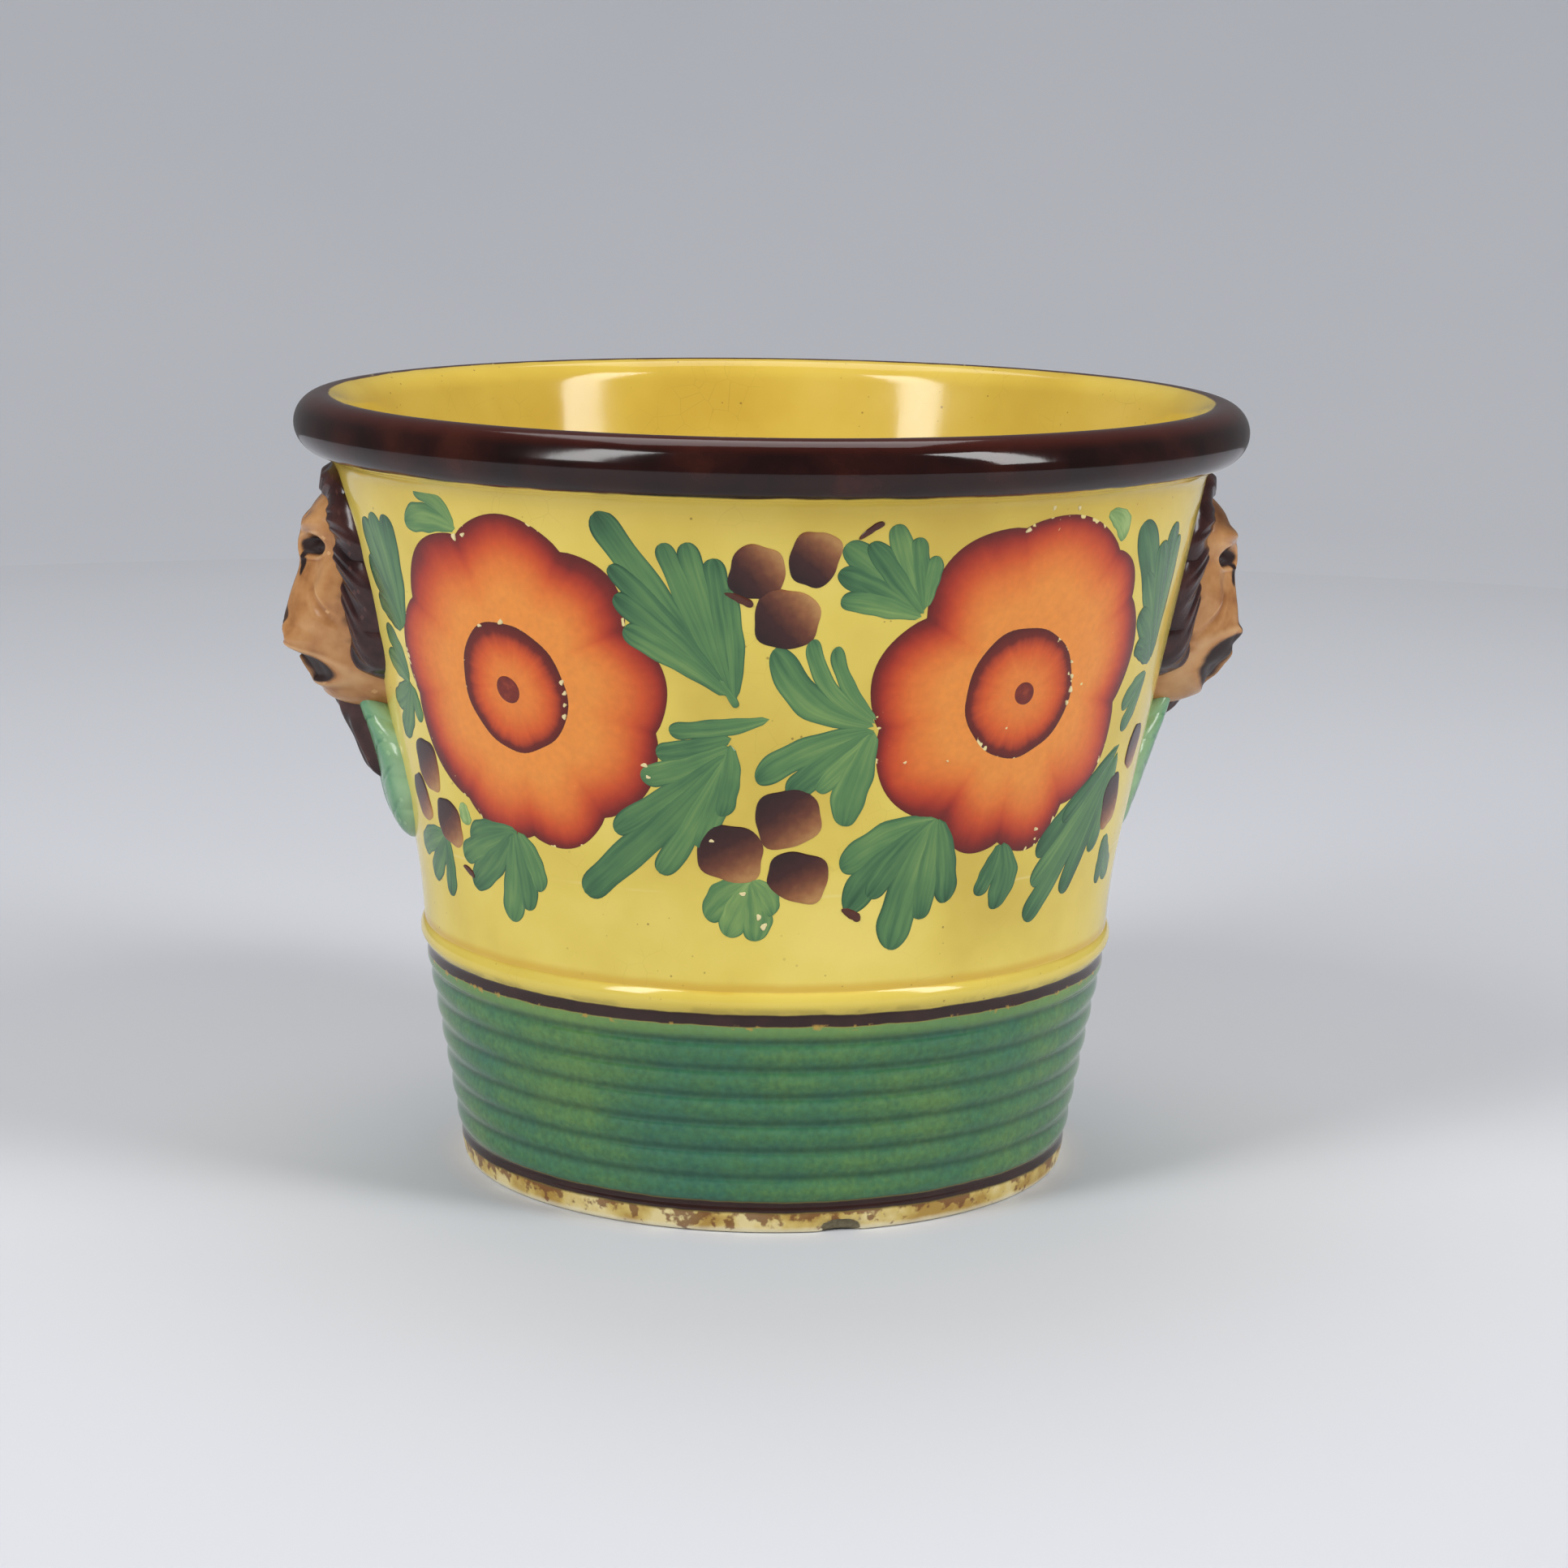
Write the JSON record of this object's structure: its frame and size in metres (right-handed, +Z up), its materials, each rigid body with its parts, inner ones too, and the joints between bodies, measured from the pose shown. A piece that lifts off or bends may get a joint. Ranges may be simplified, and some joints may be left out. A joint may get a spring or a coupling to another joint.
{
  "type": "cachepot",
  "caption": "Glazed earthenware cachepot: flared yellow pot with a rolled brown lip, green reeded band, foot ring and applied lion-mask handles, to stand a planted pot in.",
  "frame": {"origin": "centre of the foot ring, on the surface that the pot stands on", "axes": "+Z up along the pot's axis, +X towards the right-hand lion mask, -Y towards the painted front"},
  "size_m": [0.1906, 0.184, 0.1505],
  "materials": {
    "yellow_glaze": "glossy yellow lead glaze over buff earthenware, brown lip and lines, green reeded band",
    "tan_glaze": "glossy tan glaze",
    "brown_glaze": "glossy dark brown glaze",
    "green_glaze": "glossy green glaze",
    "orange_enamel": "orange and red enamel of the painted flowers"
  },
  "bodies": {
    "root": {"pot_body": "yellow_glaze", "left_face": "tan_glaze", "left_mane": "brown_glaze", "left_beard": "brown_glaze", "left_leaf": "green_glaze", "right_face": "tan_glaze", "right_mane": "brown_glaze", "right_beard": "brown_glaze", "right_leaf": "green_glaze"}
  },
  "joints": []
}
